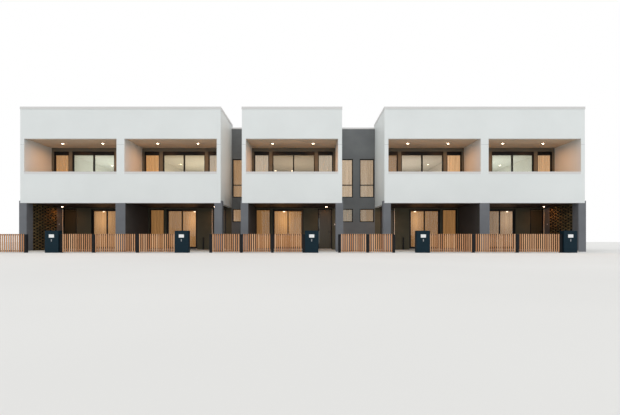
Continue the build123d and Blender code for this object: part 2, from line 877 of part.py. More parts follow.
def entry_door(house):
    # A flat leaf with the moving knuckles of its hinges and a lever on each face
    jamb_x, way = hinge_side(house)
    pin_x = jamb_x + way * leaf_clearance / 2
    leaf_width = door_width - 2 * door_jamb - 2 * leaf_clearance
    near = jamb_x + way * leaf_clearance
    far = near + way * leaf_width
    with BuildSketch(plan(leaf_low)) as outline:
        rect(min(near, far), max(near, far), leaf_y, leaf_inner_y)
    extrude(outline.sketch, amount=leaf_high - leaf_low)
    for level in hinge_levels:
        knuckles([(pin_x, way)], level, hinge_knuckle)
    lever(far - way * lever_backset, way, leaf_y, 1)
    lever(far - way * lever_backset, way, leaf_inner_y, -1)


def sliding_door(house):
    # A sash with its pane on the inner rail, and a pull on each face of the stile that closes
    x0, x1 = span(house, moving_sash_end - sash_width, moving_sash_end)
    low = rail_top + seat_clearance
    high = sash_head - sash_clearance
    with BuildSketch(elevation(moving_y - sash_thickness / 2)) as sash:
        ring(x0, x1, low, high, sash_stile, sash_stile, sash_foot)
    extrude(sash.sketch, amount=-sash_thickness)
    with BuildSketch(elevation(moving_y - glass_thickness / 2)) as pane:
        rect(x0 + sash_stile, x1 - sash_stile, low + sash_foot, high - sash_stile)
    extrude(pane.sketch, amount=-glass_thickness)
    pull_x = x0 + sash_stile / 2 if mirrored[house] else x1 - sash_stile / 2
    pull(pull_x, moving_y - sash_thickness / 2, 1)
    pull(pull_x, moving_y + sash_thickness / 2, -1)


moving_parts = {}
for house in houses:
    with BuildPart() as door:
        entry_door(house)
    moving_parts[f"entry_door_{house + 1}"] = door
    with BuildPart() as slider:
        sliding_door(house)
    moving_parts[f"sliding_door_{house + 1}"] = slider

fixed_parts = {
    "ground_slab": ground_slab,
    "porch_floors": porch_floors,
    "opening_sills": opening_sills,
    "porch_piers": porch_piers,
    "wing_walls": wing_walls,
    "brick_screen_left": brick_screen_left,
    "brick_screen_right": brick_screen_right,
    "ground_front_walls": ground_front_walls,
    "ground_lintels": ground_lintels,
    "link_wall_left": link_wall_left,
    "link_wall_right": link_wall_right,
    "link_window_frames": link_window_frames,
    "link_glass": link_glass,
    "party_walls": party_walls,
    "end_walls": end_walls,
    "rear_wall": rear_wall,
    "rear_window_frames": rear_window_frames,
    "rear_glass": rear_glass,
    "first_floor": first_floor,
    "upper_ceiling": upper_ceiling,
    "box_walls": box_walls,
    "balcony_floors": balcony_floors,
    "porch_soffits": porch_soffits,
    "balustrades": balustrades,
    "balustrade_copings": balustrade_copings,
    "box_fascias": box_fascias,
    "balcony_ceilings": balcony_ceilings,
    "box_back_parapets": box_back_parapets,
    "roof_decks": roof_decks,
    "box_copings": box_copings,
    "parapet_copings": parapet_copings,
    "balcony_back_walls": balcony_back_walls,
    "balcony_frames": balcony_frames,
    "balcony_glass": balcony_glass,
    "ground_frames": ground_frames,
    "ground_glass": ground_glass,
    "curtain_tracks": curtain_tracks,
    "curtains": curtains,
    "slider_tracks": slider_tracks,
    "door_jambs": door_jambs,
    "door_heads": door_heads,
    "fence_posts": fence_posts,
    "fence_rails": fence_rails,
    "fence_panels": fence_panels,
    "letterbox_pillars": letterbox_pillars,
    "wall_posts": wall_posts,
}

for name, piece in {**fixed_parts, **moving_parts}.items():
    piece.part.label = name
    export_step(piece.part, f"parts/{name}.step")
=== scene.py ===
import math
import random
import bmesh
import bpy
import mathutils
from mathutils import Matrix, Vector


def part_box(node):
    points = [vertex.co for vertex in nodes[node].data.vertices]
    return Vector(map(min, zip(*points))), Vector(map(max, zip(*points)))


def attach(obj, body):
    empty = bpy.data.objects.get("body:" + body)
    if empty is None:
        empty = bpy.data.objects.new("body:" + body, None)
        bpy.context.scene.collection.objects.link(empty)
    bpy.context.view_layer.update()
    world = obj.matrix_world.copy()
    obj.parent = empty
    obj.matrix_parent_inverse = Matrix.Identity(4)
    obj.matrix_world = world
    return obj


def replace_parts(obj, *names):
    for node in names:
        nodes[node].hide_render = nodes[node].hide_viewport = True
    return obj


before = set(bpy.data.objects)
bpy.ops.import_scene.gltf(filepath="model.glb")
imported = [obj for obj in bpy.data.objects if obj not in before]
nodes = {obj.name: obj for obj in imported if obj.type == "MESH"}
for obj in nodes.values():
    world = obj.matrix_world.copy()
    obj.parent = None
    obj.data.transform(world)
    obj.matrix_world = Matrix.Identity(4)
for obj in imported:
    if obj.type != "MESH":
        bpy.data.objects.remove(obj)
scene = bpy.context.scene
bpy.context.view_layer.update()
chance = random.Random(11)

# How the row is set out, in metres
row = {
    "boxWidth": 5.2,
    "bayWidth": 1.1,
    "boxWall": 0.205,
    "windowStart": 0.32,
    "windowWidth": 0.87,
    "sliderStart": 1.33,
    "sliderWidth": 1.82,
    "doorEdge": 0.37,
    "doorWidth": 0.78,
    "balconyWindowStart": 0.13,
    "balconyWindowWidth": 0.86,
    "bayWindowStart": 0.04,
    "bayWindowWidth": 0.86,
    "mirrored": (True, False, False, True, False),
}
rowHalf = (5 * row["boxWidth"] + 3 * row["bayWidth"]) / 2  # the right bay counts as two
boxLefts = [
    -rowHalf,
    -rowHalf + row["boxWidth"],
    -rowHalf + 2 * row["boxWidth"] + row["bayWidth"],
    rowHalf - 2 * row["boxWidth"],
    rowHalf - row["boxWidth"],
]
houses = range(5)
leftBay = (boxLefts[1] + row["boxWidth"], boxLefts[2])
rightBay = (boxLefts[2] + row["boxWidth"], boxLefts[3])
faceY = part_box("balustrades")[0].y
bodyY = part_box("ground_front_walls")[0].y
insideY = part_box("ground_front_walls")[1].y
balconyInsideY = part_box("balcony_back_walls")[1].y
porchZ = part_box("porch_floors")[1].z
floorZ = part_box("ground_slab")[1].z
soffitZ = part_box("porch_soffits")[0].z
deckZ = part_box("balcony_floors")[1].z
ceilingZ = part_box("balcony_ceilings")[0].z
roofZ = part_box("roof_decks")[1].z


def span(house, start, end):
    # X limits of a thing measured from the window side of a house's box
    left = boxLefts[house]
    if row["mirrored"][house]:
        return left + row["boxWidth"] - end, left + row["boxWidth"] - start
    return left + start, left + end


def doorSpan(house):
    start = row["boxWidth"] - row["doorEdge"] - row["doorWidth"]
    return span(house, start, start + row["doorWidth"])


# Material helpers
def linear(hexColour):
    channels = [int(hexColour[i:i + 2], 16) / 255 for i in (1, 3, 5)]
    return [c / 12.92 if c <= 0.04045 else ((c + 0.055) / 1.055) ** 2.4 for c in channels] + [1]


def addNode(tree, kind, settings=None, values=None, links=None, stops=()):
    # stops are those of a colour ramp, each a place from 0 to 1 and a hex colour
    node = tree.nodes.new(kind)
    for name, value in (settings or {}).items():
        setattr(node, name, value)
    for socket, value in (values or {}).items():
        node.inputs[socket].default_value = value
    for socket, source in (links or {}).items():
        tree.links.new(source, node.inputs[socket])
    for index, (place, colour) in enumerate(stops):
        elements = node.color_ramp.elements
        element = elements[index] if index < 2 else elements.new(place)
        element.position = place
        element.color = linear(colour)
    return node


def startMaterial(name, finish):
    # finish goes straight on the shader's own sockets
    material = bpy.data.materials.new(name)
    material.use_nodes = True
    tree = material.node_tree
    tree.nodes.clear()
    shader = addNode(tree, "ShaderNodeBsdfPrincipled", values=finish)
    addNode(tree, "ShaderNodeOutputMaterial", links={"Surface": shader.outputs["BSDF"]})
    place = addNode(tree, "ShaderNodeTexCoord").outputs["Object"]
    return material, tree, shader, place


def mottled(tree, place, repeats, detail=3.0, roughness=0.5):
    # a cloudy pattern, with these repeats a metre along x, y and z, or one number for all three
    scale = repeats if isinstance(repeats, tuple) else (repeats, repeats, repeats)
    vector = addNode(tree, "ShaderNodeMapping", values={"Scale": scale}, links={"Vector": place}).outputs[0]
    noise = {"Scale": 1.0, "Detail": detail, "Roughness": roughness}
    return addNode(tree, "ShaderNodeTexNoise", values=noise, links={"Vector": vector}).outputs["Fac"]


def dressShader(tree, shader, height, deep, colour=None):
    # a pattern raises the surface by up to deep, in metres, and a colour that isn't even goes on too
    bump = addNode(tree, "ShaderNodeBump", values={"Strength": 1.0, "Distance": deep},
                   links={"Height": height})
    tree.links.new(bump.outputs["Normal"], shader.inputs["Normal"])
    if colour is not None:
        tree.links.new(colour, shader.inputs["Base Color"])


def grooves(tree, place, axis, pitch, width):
    # 1 in a groove of this width at every pitch along an axis, 0 between grooves
    along = addNode(tree, "ShaderNodeSeparateXYZ", links={"Vector": place}).outputs[axis]
    repeat = addNode(tree, "ShaderNodeMath", {"operation": "DIVIDE"}, {1: pitch}, {0: along}).outputs[0]
    part = addNode(tree, "ShaderNodeMath", {"operation": "FRACT"}, links={0: repeat}).outputs[0]
    return addNode(tree, "ShaderNodeMath", {"operation": "LESS_THAN"}, {1: width / pitch},
                   {0: part}).outputs[0]


# Materials
def satinPaintedPanel():
    # fibre-cement sheet, rolled in satin white: clean and even, with a faint roller stipple and cloudiness
    # the stipple is 2 mm, drawn at about 30 mm so that it shows
    panel = {"tones": ((0.3, "#d6dbdb"), (0.7, "#dbe0e0")), "cloud": 0.5, "stipple": 30, "deep": 0.0006}
    material, tree, shader, place = startMaterial("satinPaintedPanel", {"Roughness": 0.5})
    cloud = mottled(tree, place, panel["cloud"])
    colour = addNode(tree, "ShaderNodeValToRGB", links={"Fac": cloud}, stops=panel["tones"]).outputs[0]
    dressShader(tree, shader, mottled(tree, place, panel["stipple"]), panel["deep"], colour)
    return material


def trowelledRender(name, tones, innerTones=None, axis="Y", inward=1, byPlace=False):
    # acrylic render, floated by hand and painted: matt, with sand grain and soft trowel marks
    # the sand is half a millimetre, drawn at about 14 mm so that it shows
    # innerTones are a second finish, on the faces that look inward along an axis
    # byPlace is for a pair of end walls, whose inner faces look back at the middle of the row
    coat = {"trowel": (0.8, 0.8, 1.3), "sand": 70, "deep": 0.0015}
    material, tree, shader, place = startMaterial(name, {"Roughness": 0.85})
    cloud = mottled(tree, place, coat["trowel"], 6.0, 0.6)
    colour = addNode(tree, "ShaderNodeValToRGB", links={"Fac": cloud}, stops=tones).outputs[0]
    if innerTones:
        normal = addNode(tree, "ShaderNodeNewGeometry").outputs["True Normal"]
        facing = addNode(tree, "ShaderNodeSeparateXYZ", links={"Vector": normal}).outputs[axis]
        if byPlace:
            along = addNode(tree, "ShaderNodeSeparateXYZ", links={"Vector": place}).outputs[axis]
            facing = addNode(tree, "ShaderNodeMath", {"operation": "MULTIPLY"},
                             links={0: facing, 1: along}).outputs[0]
        facing = addNode(tree, "ShaderNodeMath", {"operation": "MULTIPLY"}, {1: inward},
                         {0: facing}).outputs[0]
        inside = addNode(tree, "ShaderNodeMath", {"operation": "GREATER_THAN"}, {1: 0.5},
                         {0: facing}).outputs[0]
        inner = addNode(tree, "ShaderNodeValToRGB", links={"Fac": cloud}, stops=innerTones).outputs[0]
        colour = addNode(tree, "ShaderNodeMix", {"data_type": "RGBA"},
                         links={"Factor": inside, "A": colour, "B": inner}).outputs["Result"]
    dressShader(tree, shader, mottled(tree, place, coat["sand"], 2.0), coat["deep"], colour)
    return material


def foldedSteel(name, colour, roughness=0.4):
    # roll-coated steel, folded: even satin paint, with slight waves about 0.6 m long
    steel = {"wave": 1.6, "shade": 0.95, "deep": 0.001}
    material, tree, shader, place = startMaterial(name, {"Roughness": roughness, "IOR": 1.5})
    wave = mottled(tree, place, steel["wave"], 2.0)
    base = linear(colour)
    mixed = addNode(tree, "ShaderNodeMix", {"data_type": "RGBA"},
                    {"A": [steel["shade"] * c for c in base[:3]] + [1], "B": base}, {"Factor": wave})
    dressShader(tree, shader, wave, steel["deep"], mixed.outputs["Result"])
    return material


def powderCoat(name, colour, roughness=0.42, gloss=0.5):
    # baked powder paint: satin, with a fine orange peel, 2 mm across and drawn at 4 mm
    paint = {"patch": 4, "shade": 0.85, "peel": 260, "deep": 0.0003}
    material, tree, shader, place = startMaterial(name, {
        "Roughness": roughness, "IOR": 1.5, "Specular IOR Level": gloss})
    patch = mottled(tree, place, paint["patch"])
    base = linear(colour)
    mixed = addNode(tree, "ShaderNodeMix", {"data_type": "RGBA"},
                    {"A": [paint["shade"] * c for c in base[:3]] + [1], "B": base}, {"Factor": patch})
    dressShader(tree, shader, mottled(tree, place, paint["peel"]), paint["deep"], mixed.outputs["Result"])
    return material


def looksAlong(tree):
    # 1 on the faces that look along the row, 0 on all others; the cedar, brick and mortar paint shade by it
    normal = addNode(tree, "ShaderNodeNewGeometry").outputs["True Normal"]
    facing = addNode(tree, "ShaderNodeSeparateXYZ", links={"Vector": normal}).outputs["X"]
    facing = addNode(tree, "ShaderNodeMath", {"operation": "ABSOLUTE"}, links={0: facing}).outputs[0]
    return addNode(tree, "ShaderNodeMath", {"operation": "GREATER_THAN"}, {1: 0.6}, {0: facing}).outputs[0]


def oiledCedar():
    # sawn cedar battens, oiled: orange to pinkish brown, with long grain up each batten
    # the sides, which look along the row, are painted darker than the planed fronts as shade
    # the grain is 3 mm across, drawn at about 18 mm so that it shows
    wood = {"tones": ((0.0, "#8c5b36"), (0.35, "#b07a4f"), (0.62, "#ca976c"), (1.0, "#deb590")),
            "sides": "#3c2618", "grain": (55, 55, 1.6), "grainShift": 0.25, "deep": 0.001}
    material, tree, shader, place = startMaterial("oiledCedar", {"Roughness": 0.62})
    tint = addNode(tree, "ShaderNodeAttribute", {"attribute_name": "boardTint"}).outputs["Fac"]
    grain = mottled(tree, place, wood["grain"], 5.0, 0.6)
    shift = addNode(tree, "ShaderNodeMath", {"operation": "MULTIPLY_ADD"},
                    {1: 2 * wood["grainShift"], 2: -wood["grainShift"]}, {0: grain}).outputs[0]
    level = addNode(tree, "ShaderNodeMath", {"operation": "ADD", "use_clamp": True},
                    links={0: tint, 1: shift}).outputs[0]
    front = addNode(tree, "ShaderNodeValToRGB", links={"Fac": level}, stops=wood["tones"]).outputs[0]
    # painted shade: the faces that look along the row take the dark sides colour
    mixed = addNode(tree, "ShaderNodeMix", {"data_type": "RGBA"}, {"B": linear(wood["sides"])},
                    {"Factor": looksAlong(tree), "A": front})
    dressShader(tree, shader, grain, wood["deep"], mixed.outputs["Result"])
    return material


def dryPressedBrick():
    # dry-pressed brick, olive brown, each one a little different, sandy face; the faces of its ends and beds,
    # which show in the holes, are painted almost black as shade
    # the sand is 1 mm, drawn at about 11 mm so that it shows
    clay = {"tones": ((0.0, "#3d3420"), (0.5, "#574a31"), (1.0, "#786844")), "ends": "#0e0b08", "burn": 9,
            "burnLevel": 0.6, "sand": 90, "deep": 0.002}
    material, tree, shader, place = startMaterial("dryPressedBrick", {
        "Roughness": 0.9, "Specular IOR Level": 0.2})
    tint = addNode(tree, "ShaderNodeAttribute", {"attribute_name": "boardTint"}).outputs["Fac"]
    burn = mottled(tree, place, clay["burn"], 4.0)
    level = addNode(tree, "ShaderNodeMath", {"operation": "MULTIPLY_ADD", "use_clamp": True},
                    {1: clay["burnLevel"]}, {0: burn, 2: tint}).outputs[0]
    side = addNode(tree, "ShaderNodeValToRGB", links={"Fac": level}, stops=clay["tones"]).outputs[0]
    # painted shade: all faces but those that look along the row take the near-black ends colour
    mixed = addNode(tree, "ShaderNodeMix", {"data_type": "RGBA"}, {"A": linear(clay["ends"])},
                    {"Factor": looksAlong(tree), "B": side})
    dressShader(tree, shader, mottled(tree, place, clay["sand"]), clay["deep"], mixed.outputs["Result"])
    return material


def rakedMortar():
    # brown-tinted mortar, raked back: dull and sandy, and painted near black as shade where it shows in a
    # hole
    # the sand is 1 mm, drawn at about 8 mm so that it shows
    bed = {"tones": ((0.3, "#3f3724"), (0.7, "#524831")), "ends": "#0e0b08", "sand": 120, "deep": 0.0015}
    material, tree, shader, place = startMaterial("rakedMortar", {
        "Roughness": 0.95, "Specular IOR Level": 0.2})
    sand = mottled(tree, place, bed["sand"])
    side = addNode(tree, "ShaderNodeValToRGB", links={"Fac": sand}, stops=bed["tones"]).outputs[0]
    # painted shade: all faces but those that look along the row take the near-black ends colour
    mixed = addNode(tree, "ShaderNodeMix", {"data_type": "RGBA"}, {"A": linear(bed["ends"])},
                    {"Factor": looksAlong(tree), "B": side})
    dressShader(tree, shader, sand, bed["deep"], mixed.outputs["Result"])
    return material


def clearGlass():
    # clear float glass: a faint green-grey cast and a sharp reflection, kept low as in dim light
    pane = {"wave": (1.2, 1.2, 0.8), "deep": 0.0004}
    material, tree, shader, place = startMaterial("clearGlass", {
        "Base Color": linear("#e4ebe7"), "Roughness": 0.02, "IOR": 1.3, "Transmission Weight": 1.0})
    dressShader(tree, shader, mottled(tree, place, pane["wave"], 1.0), pane["deep"])
    return material


def broomedConcrete():
    # pale broomed concrete: light grey with cloudy cement, and broom marks 4 to 5 mm apart
    slab = {"tones": ((0.3, "#a8a39b"), (0.7, "#c4bfb6")), "cloud": 1.4, "broom": (6, 220, 220),
            "deep": 0.001}
    material, tree, shader, place = startMaterial("broomedConcrete", {"Roughness": 0.9})
    cloud = mottled(tree, place, slab["cloud"], 6.0, 0.6)
    colour = addNode(tree, "ShaderNodeValToRGB", links={"Fac": cloud}, stops=slab["tones"]).outputs[0]
    dressShader(tree, shader, mottled(tree, place, slab["broom"], 2.0), slab["deep"], colour)
    return material


def flatPlaster(name, tones):
    # plasterboard, rolled flat: warm and even, with almost no texture
    # the roller's marks are 2 mm, drawn at about 22 mm so that they show
    coat = {"cloud": 0.7, "roller": 45, "deep": 0.0004}
    material, tree, shader, place = startMaterial(name, {"Roughness": 0.9})
    cloud = mottled(tree, place, coat["cloud"])
    colour = addNode(tree, "ShaderNodeValToRGB", links={"Fac": cloud}, stops=tones).outputs[0]
    dressShader(tree, shader, mottled(tree, place, coat["roller"]), coat["deep"], colour)
    return material


def stainedLining():
    # timber lining boards, 100 mm wide, stained dark red-brown and painted darker still as shade under the
    # boxes: grain along each board and shadow gaps
    # the grain is 3 mm across, drawn at about 14 mm so that it shows
    boards = {"pitch": 0.1, "gap": 0.008, "tones": ((0.2, "#1b0903"), (0.8, "#321507")), "shadow": "#0c0706",
              "grain": (2, 70, 70), "deep": 0.004}
    material, tree, shader, place = startMaterial("stainedLining", {"Roughness": 0.55})
    grain = mottled(tree, place, boards["grain"], 5.0, 0.6)
    board = addNode(tree, "ShaderNodeValToRGB", links={"Fac": grain}, stops=boards["tones"]).outputs[0]
    gap = grooves(tree, place, "Y", boards["pitch"], boards["gap"])
    mixed = addNode(tree, "ShaderNodeMix", {"data_type": "RGBA"}, {"B": linear(boards["shadow"])},
                    {"Factor": gap, "A": board})
    height = addNode(tree, "ShaderNodeMath", {"operation": "SUBTRACT"}, {0: 1.0}, {1: gap}).outputs[0]
    dressShader(tree, shader, height, boards["deep"], mixed.outputs["Result"])
    return material


def doorVeneer():
    # flush leaf in dark slate-brown stain: fine upright grain under a satin lacquer
    # the grain is 2 mm across, drawn at about 17 mm so that it shows
    wood = {"tones": ((0.3, "#35301f"), (0.7, "#453d28")), "grain": (60, 60, 1.5), "deep": 0.0005}
    material, tree, shader, place = startMaterial("doorVeneer", {"Roughness": 0.35, "IOR": 1.5})
    grain = mottled(tree, place, wood["grain"], 5.0, 0.6)
    colour = addNode(tree, "ShaderNodeValToRGB", links={"Fac": grain}, stops=wood["tones"]).outputs[0]
    dressShader(tree, shader, grain, wood["deep"], colour)
    return material


def glowRound(tree, vector, wide, high):
    # 1 at the middle of a soft oval of light, falling to 0 outside it
    spread = addNode(tree, "ShaderNodeVectorMath", {"operation": "MULTIPLY"}, {1: (1 / wide, 0, 1 / high)},
                     {0: vector}).outputs["Vector"]
    reach = addNode(tree, "ShaderNodeVectorMath", {"operation": "DOT_PRODUCT"},
                    links={0: spread, 1: spread}).outputs["Value"]
    fall = addNode(tree, "ShaderNodeMath", {"operation": "MULTIPLY"}, {1: -1.0}, {0: reach}).outputs[0]
    return addNode(tree, "ShaderNodeMath", {"operation": "EXPONENT"}, links={0: fall}).outputs[0]


def sheerLinen():
    # sheer linen with an open weave; the room's light through it is painted on as emission, warm where the
    # lamps would shine through the weave is 2 mm, drawn at 6 mm so that it shows; tint runs from tan to
    # cream, glow is the painted light in it lampPlace is how far a point of the cloth is from the downlight
    # whose painted pool and spot of light show through it
    cloth = {"tones": ((0.0, "#ffb56c"), (1.0, "#ffe6d0")), "unlit": "#8c7a60", "lamp": "#fff4e6",
             "weave": 160, "deep": 0.0004, "sheer": 0.95, "streaks": (9, 0.01, 0.4), "streakLevel": 0.9,
             "even": 0.55, "pool": (0.5, 0.75), "poolDrop": 0.5, "poolLevel": 1.4, "spot": (0.06, 0.038),
             "spotLevel": 4.6}
    material, tree, shader, place = startMaterial("sheerLinen", {"Roughness": 0.9, "Alpha": cloth["sheer"]})
    tint = addNode(tree, "ShaderNodeAttribute", {"attribute_name": "boardTint"}).outputs["Fac"]
    glow = addNode(tree, "ShaderNodeAttribute", {"attribute_name": "glow"}).outputs["Fac"]
    warm = addNode(tree, "ShaderNodeValToRGB", links={"Fac": tint}, stops=cloth["tones"]).outputs[0]
    streaks = mottled(tree, place, cloth["streaks"])
    level = addNode(tree, "ShaderNodeMath", {"operation": "MULTIPLY_ADD"},
                    {1: cloth["streakLevel"], 2: cloth["even"]}, {0: streaks}).outputs[0]
    # painted light: a pool below each downlight and a bright spot where it shows through the cloth
    away = addNode(tree, "ShaderNodeAttribute", {"attribute_name": "lampPlace"}).outputs["Vector"]
    below = addNode(tree, "ShaderNodeVectorMath", {"operation": "ADD"}, {1: (0, 0, cloth["poolDrop"])},
                    {0: away}).outputs["Vector"]
    pool = addNode(tree, "ShaderNodeMath", {"operation": "MULTIPLY_ADD"}, {1: cloth["poolLevel"], 2: 1.0},
                   {0: glowRound(tree, below, *cloth["pool"])}).outputs[0]
    level = addNode(tree, "ShaderNodeMath", {"operation": "MULTIPLY"}, links={0: level, 1: pool}).outputs[0]
    level = addNode(tree, "ShaderNodeMath", {"operation": "MULTIPLY"}, links={0: level, 1: glow}).outputs[0]
    spot = glowRound(tree, away, *cloth["spot"])
    level = addNode(tree, "ShaderNodeMath", {"operation": "MULTIPLY_ADD"}, {1: cloth["spotLevel"]},
                    {0: spot, 2: level}).outputs[0]
    shone = addNode(tree, "ShaderNodeMix", {"data_type": "RGBA"}, {"B": linear(cloth["lamp"])},
                    {"Factor": spot, "A": warm}).outputs["Result"]
    dim = addNode(tree, "ShaderNodeMix", {"data_type": "RGBA", "blend_type": "MULTIPLY"},
                  {"Factor": 1.0, "B": linear(cloth["unlit"])}, {"A": warm}).outputs["Result"]
    tree.links.new(shone, shader.inputs["Emission Color"])
    tree.links.new(level, shader.inputs["Emission Strength"])
    dressShader(tree, shader, mottled(tree, place, cloth["weave"]), cloth["deep"], dim)
    return material


def warmLens():
    # opal lens of a lit downlight: a warm white glow, with moulded ripples 5 mm across
    opal = {"ripple": 200, "deep": 0.0003}
    material, tree, shader, place = startMaterial("warmLens", {
        "Base Color": linear("#fff3df"), "Roughness": 0.3, "Emission Color": linear("#ffe0c0"),
        "Emission Strength": 24.0})
    dressShader(tree, shader, mottled(tree, place, opal["ripple"]), opal["deep"])
    return material


panelWhite = satinPaintedPanel()
pierTones = ((0.3, "#63666b"), (0.7, "#6e7176"))
bodyTones = ((0.3, "#616466"), (0.7, "#6c6f70"))
porchShadedTones = ((0.3, "#4a4738"), (0.7, "#545140"))
paintedShadeTones = ((0.3, "#3b3735"), (0.7, "#433e3b"))
balconyTones = ((0.3, "#5e5b50"), (0.7, "#6a665a"))
plasterTones = ((0.3, "#e0dad0"), (0.7, "#e8e2d8"))
ceilingShadeTones = ((0.3, "#c3b5a1"), (0.7, "#cdbfab"))
renderPier = trowelledRender("pierRender", pierTones)
# the wing walls are painted dark as shade on their sides, back and top; only their fronts take the pier's
# render
renderWing = trowelledRender("wingRender", paintedShadeTones, pierTones, "Y", -1)
renderBody = trowelledRender("bodyRender", bodyTones, plasterTones)
renderRear = trowelledRender("rearRender", bodyTones, plasterTones, "Y", -1)
renderEnd = trowelledRender("endRender", bodyTones, plasterTones, "X", -1, True)
# the porch walls and lintels are darkened as painted shade on the faces toward the porch, to keep it dim;
# their faces inside the house are plaster
renderPorch = trowelledRender("porchRender", porchShadedTones, plasterTones)
renderBalcony = trowelledRender("balconyRender", balconyTones, plasterTones)
copingSteel = foldedSteel("copingSteel", "#cfcfce")
roofSteel = foldedSteel("roofSteel", "#8d9193", 0.35)
blackFrame = powderCoat("blackFrameCoat", "#0f0f0f", 0.45, 0.22)
blackSteel = powderCoat("blackSteelCoat", "#101114", 0.5, 0.22)
navySteel = powderCoat("navySteelCoat", "#0c2530", 0.6, 0.15)
whitePlate = powderCoat("whitePlateCoat", "#eef0f0", 0.35)
greySteel = powderCoat("greySteelCoat", "#8f9498", 0.3)
# the door beads' pale warm colour is partly painted highlight, the porch light on the door's reveal
paleHighlightStrip = powderCoat("paleStripCoat", "#f3dfc6", 0.35)
greyJoint = powderCoat("greyJointCoat", "#b9bec0", 0.6)
cedar = oiledCedar()
brick = dryPressedBrick()
mortar = rakedMortar()
glass = clearGlass()
concrete = broomedConcrete()
plaster = flatPlaster("warmPlaster", plasterTones)
# the balcony ceilings are white; their greige is painted shade, warmed as painted lamplight
balconyLining = flatPlaster("shadedWhiteCeiling", ceilingShadeTones)
lining = stainedLining()
veneer = doorVeneer()
lens = warmLens()
linen = sheerLinen()
print("materials made")

# What each of the solids is finished in
finishes = {
    "ground_slab": concrete, "porch_floors": concrete, "opening_sills": concrete,
    "porch_piers": renderPier, "wing_walls": renderWing,
    "ground_front_walls": renderPorch, "ground_lintels": renderPorch,
    "link_wall_left": renderBody, "link_wall_right": renderBody,
    "link_window_frames": blackFrame, "link_glass": glass,
    "party_walls": plaster, "end_walls": renderEnd, "rear_wall": renderRear,
    "rear_window_frames": blackFrame, "rear_glass": glass,
    "first_floor": plaster, "upper_ceiling": plaster,
    "box_walls": panelWhite, "balcony_floors": concrete, "porch_soffits": lining,
    "balustrades": panelWhite, "balustrade_copings": copingSteel, "box_fascias": panelWhite,
    "balcony_ceilings": balconyLining, "box_back_parapets": panelWhite, "roof_decks": roofSteel,
    "box_copings": copingSteel, "parapet_copings": copingSteel,
    "balcony_back_walls": renderBalcony, "balcony_frames": blackFrame, "balcony_glass": glass,
    "ground_frames": blackFrame, "ground_glass": glass,
    "curtain_tracks": whitePlate, "slider_tracks": blackFrame,
    "door_jambs": blackFrame, "door_heads": blackFrame,
    "fence_posts": blackSteel, "fence_rails": blackSteel, "wall_posts": blackSteel,
}
for name, material in finishes.items():
    node = nodes[name]
    node.data.materials.clear()
    node.data.materials.append(material)
print("frame dressed")


# Shape helpers
def addBlock(bm, low, high, edge=0.0, tint=None):
    # a block between two corners, its edges taken off where edge is given, with its own tint
    before = set(bm.verts)
    made = bmesh.ops.create_cube(bm, size=1.0)["verts"]
    size = [b - a for a, b in zip(low, high)]
    bmesh.ops.scale(bm, vec=size, verts=made)
    bmesh.ops.translate(bm, vec=[(a + b) / 2 for a, b in zip(low, high)], verts=made)
    if edge:
        edges = list({e for v in made for e in v.link_edges})
        bmesh.ops.bevel(bm, geom=edges, offset=edge, offset_type="OFFSET", affect="EDGES", segments=1,
                        profile=0.5, material=-1)
    fresh = [v for v in bm.verts if v not in before]
    if tint is not None:
        layer = bm.verts.layers.float["boardTint"]
        for vert in fresh:
            vert[layer] = tint
    return fresh


def between(start, step):
    # the two ends of a stretch, the lower one first
    return sorted((start, start + step))


def startTinted():
    bm = bmesh.new()
    bm.verts.layers.float.new("boardTint")
    return bm


def finishPiece(name, bm, materials, body="row"):
    mesh = bpy.data.meshes.new(name)
    bm.to_mesh(mesh)
    bm.free()
    for material in materials:
        mesh.materials.append(material)
    piece = bpy.data.objects.new(name, mesh)
    scene.collection.objects.link(piece)
    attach(piece, body)
    return piece


# Street fence: cedar battens screwed to the black rails
def streetFence():
    fence = {"pitch": 0.102, "width": 0.058, "thick": 0.03, "low": 0.03, "high": 0.895, "edge": 0.003,
             "screw": 0.005, "screwSides": 8, "screwProud": 0.0005, "screwLevels": (0.085, 0.855),
             "tints": (0.3, 0.8)}
    # the ends of the rails tell where each panel starts and ends
    ends = sorted({round(v.co.x, 4) for v in nodes["fence_rails"].data.vertices})
    panels = list(zip(ends[0::2], ends[1::2]))
    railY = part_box("fence_rails")[0].y
    battens, screws = startTinted(), bmesh.new()
    for left, right in panels:
        count = int((right - left - fence["width"]) // fence["pitch"]) + 1
        first = (left + right - (count - 1) * fence["pitch"]) / 2
        for index in range(count):
            x = first + index * fence["pitch"]
            addBlock(battens, (x - fence["width"] / 2, railY - fence["thick"], fence["low"]),
                     (x + fence["width"] / 2, railY, fence["high"]), fence["edge"],
                     chance.uniform(*fence["tints"]))
            for z in fence["screwLevels"]:
                head = bmesh.ops.create_circle(screws, cap_ends=True, segments=fence["screwSides"],
                                               radius=fence["screw"])
                bmesh.ops.rotate(screws, cent=(0, 0, 0), verts=head["verts"],
                                 matrix=mathutils.Matrix.Rotation(math.pi / 2, 3, "X"))
                bmesh.ops.translate(screws, vec=(x, railY - fence["thick"] - fence["screwProud"], z),
                                    verts=head["verts"])
    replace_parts(finishPiece("fenceBattens", battens, [cedar]), "fence_panels")
    finishPiece("battenScrews", screws, [greySteel])
    print("fence built:", len(panels), "panels")


streetFence()


